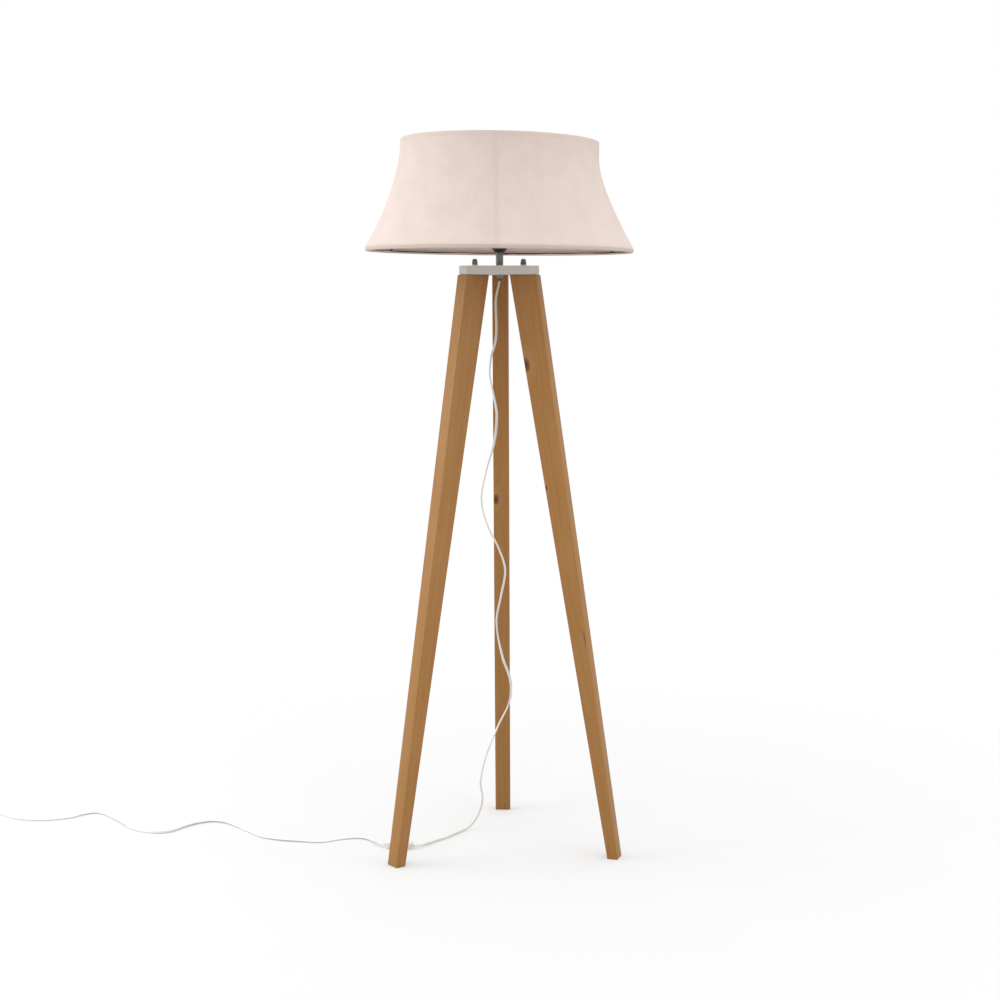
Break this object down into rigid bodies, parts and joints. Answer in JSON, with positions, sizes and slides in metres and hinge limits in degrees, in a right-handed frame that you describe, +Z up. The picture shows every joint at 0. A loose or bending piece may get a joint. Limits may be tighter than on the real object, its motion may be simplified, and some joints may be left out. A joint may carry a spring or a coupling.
{
  "type": "tripod floor lamp",
  "caption": "Floor lamp on a tapered wooden tripod with a small white top plate, a round flared fabric shade on a wire frame, and a flat lead with an in-line switch and plug.",
  "frame": {"origin": "on the floor, under the axis of the stem and the shade", "axes": "+Z up, the plate's long front side faces -Y, +X to the right"},
  "size_m": [1.482, 0.551, 1.4705],
  "materials": {
    "stained_pine": "satin clear stain over pine with knots",
    "plate_paint": "matt off-white paint",
    "satin_steel": "satin",
    "zinc_steel": "zinc plated",
    "aged_brass": "dull",
    "brass": "plain",
    "black_plastic": "satin",
    "insulator": "matt",
    "linen": "plain weave",
    "black_wire": "satin black",
    "bulb_cap": "satin",
    "bulb_glass": "opal",
    "white_lead": "satin PVC",
    "white_plastic": "satin",
    "grey_plastic": "matte",
    "pin_metal": "nickel"
  },
  "bodies": {
    "base": {"bulb_cap": "bulb_cap", "bulb_glass": "bulb_glass", "bulb_tip": "bulb_cap", "centre_contact": "brass", "holder_barrel": "black_plastic", "holder_cap": "black_plastic", "holder_insert": "insulator", "lead_bush": "grey_plastic", "lead_coil": "white_lead", "lead_floor": "white_lead", "lead_hanging": "white_lead", "lead_in_stem": "white_lead", "lead_tail": "white_lead", "plug_body": "white_plastic", "plug_pin_left": "pin_metal", "plug_pin_right": "pin_metal", "plug_relief": "white_plastic", "ring_nut_lower": "black_plastic", "ring_nut_upper": "black_plastic", "side_contact": "brass", "stem_lock_nut": "zinc_steel", "stem_nipple": "zinc_steel", "stem_tube": "satin_steel", "switch_lower": "white_plastic", "switch_terminal_lamp": "brass", "switch_terminal_plug": "brass", "switch_upper": "white_plastic", "top_plate": "plate_paint"},
    "leg_left": {"leg_left": "stained_pine", "hanger_bolt_left": "zinc_steel", "washer_left": "zinc_steel", "cap_nut_left": "aged_brass"},
    "leg_right": {"leg_right": "stained_pine", "hanger_bolt_right": "zinc_steel", "washer_right": "zinc_steel", "cap_nut_right": "aged_brass"},
    "leg_rear": {"leg_rear": "stained_pine", "hanger_bolt_rear": "zinc_steel", "washer_rear": "zinc_steel", "cap_nut_rear": "aged_brass"},
    "shade": {"shade_cover": "linen", "shade_ring_top": "black_wire", "shade_ring_bottom": "black_wire", "carrier_ring": "black_wire", "shade_strut_1": "black_wire", "shade_strut_2": "black_wire", "shade_strut_3": "black_wire", "shade_strut_4": "black_wire", "shade_strut_5": "black_wire", "shade_strut_6": "black_wire", "carrier_arm_1": "black_wire", "carrier_arm_2": "black_wire", "carrier_arm_3": "black_wire"},
    "rocker": {"switch_rocker": "white_plastic", "switch_blade": "brass"}
  },
  "joints": [
    {"name": "leg_left_swing", "type": "hinge", "parent": "base", "child": "leg_left", "pos_m": [-0.04936, -0.0285, 1.2], "axis": [0, 0, 1], "range_deg": [-20, 6]},
    {"name": "leg_right_swing", "type": "hinge", "parent": "base", "child": "leg_right", "pos_m": [0.04936, -0.0285, 1.2], "axis": [0, 0, 1], "range_deg": [-25, 2]},
    {"name": "leg_rear_swing", "type": "hinge", "parent": "base", "child": "leg_rear", "pos_m": [0, 0.057, 1.2], "axis": [0, 0, 1], "range_deg": [-12, 12]},
    {"name": "shade_turn", "type": "hinge", "parent": "base", "child": "shade", "pos_m": [0, 0, 1.2905], "axis": [0, 0, 1], "continuous": true},
    {"name": "switch_rocker_tilt", "type": "hinge", "parent": "base", "child": "rocker", "pos_m": [-0.2098, -0.0395, 0.0105], "axis": [0.0698, 0.9976, 0], "range_deg": [0, 14]}
  ]
}
